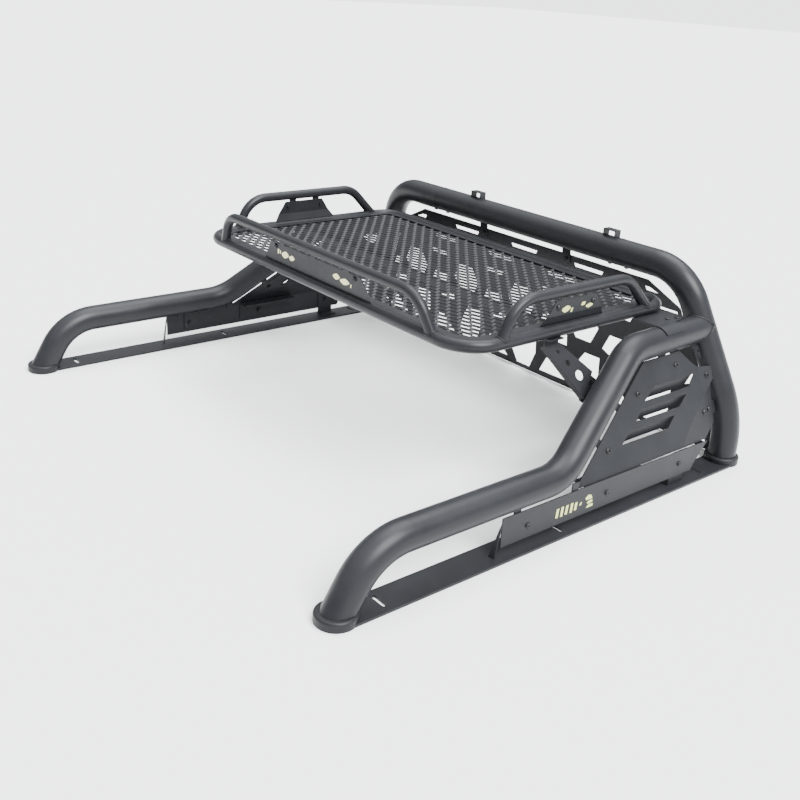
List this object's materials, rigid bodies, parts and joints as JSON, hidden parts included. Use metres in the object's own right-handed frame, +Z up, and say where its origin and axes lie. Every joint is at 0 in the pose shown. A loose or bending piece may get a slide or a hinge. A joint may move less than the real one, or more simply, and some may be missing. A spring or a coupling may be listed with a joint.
{
  "type": "roof cargo basket",
  "caption": "Open cargo basket with guard rails and a mesh floor, carried on a bent-tube hoop with side tubes and slotted rails that bolt to a pickup's bed walls.",
  "frame": {"origin": "centre of the two base rails' bounding box, on the face that rests on the bed walls", "axes": "+X across the vehicle towards its right-hand rail as modelled, +Y towards the tailgate, +Z up"},
  "size_m": [1.674, 1.412, 0.564],
  "materials": {
    "tube_coat": "satin black powder coat",
    "plate_coat": "fine-textured matte black powder coat",
    "weld_coat": "matte black powder coat over weld beads",
    "mesh_coat": "satin black coat on expanded steel",
    "fastener": "black-coated button-head bolts and nuts",
    "badge_yellow": "pale yellow printed badge"
  },
  "bodies": {
    "root": {"badges": "badge_yellow", "basket_cross_bar": "tube_coat", "basket_ledge": "plate_coat", "basket_mesh": "mesh_coat", "basket_perimeter": "tube_coat", "brace_bolts": "fastener", "foot_collars": "weld_coat", "front_guard": "tube_coat", "front_guard_plate": "plate_coat", "guard_bolts": "fastener", "headboard": "plate_coat", "headboard_bolts": "fastener", "headboard_hangers": "plate_coat", "headboard_tabs": "plate_coat", "hoop_top_bar": "tube_coat", "left_base_rail": "tube_coat", "left_brace": "plate_coat", "left_brace_bracket": "plate_coat", "left_corner_web": "plate_coat", "left_guard": "tube_coat", "left_guard_plate": "plate_coat", "left_hoop_leg": "tube_coat", "left_leg_lug": "plate_coat", "left_louvre_plate": "plate_coat", "left_lower_panel": "plate_coat", "left_panel_brackets": "plate_coat", "left_panel_tabs": "plate_coat", "left_saddle": "plate_coat", "left_side_panel": "plate_coat", "left_side_tube": "tube_coat", "light_brackets": "plate_coat", "panel_bolts": "fastener", "panel_nuts": "fastener", "right_base_rail": "tube_coat", "right_brace": "plate_coat", "right_brace_bracket": "plate_coat", "right_corner_web": "plate_coat", "right_guard": "tube_coat", "right_guard_plate": "plate_coat", "right_hoop_leg": "tube_coat", "right_leg_lug": "plate_coat", "right_louvre_plate": "plate_coat", "right_lower_panel": "plate_coat", "right_panel_brackets": "plate_coat", "right_panel_tabs": "plate_coat", "right_saddle": "plate_coat", "right_side_panel": "plate_coat", "right_side_tube": "tube_coat", "saddle_bolts": "fastener", "splice_bolts": "fastener", "splice_sleeves": "tube_coat"}
  },
  "joints": []
}
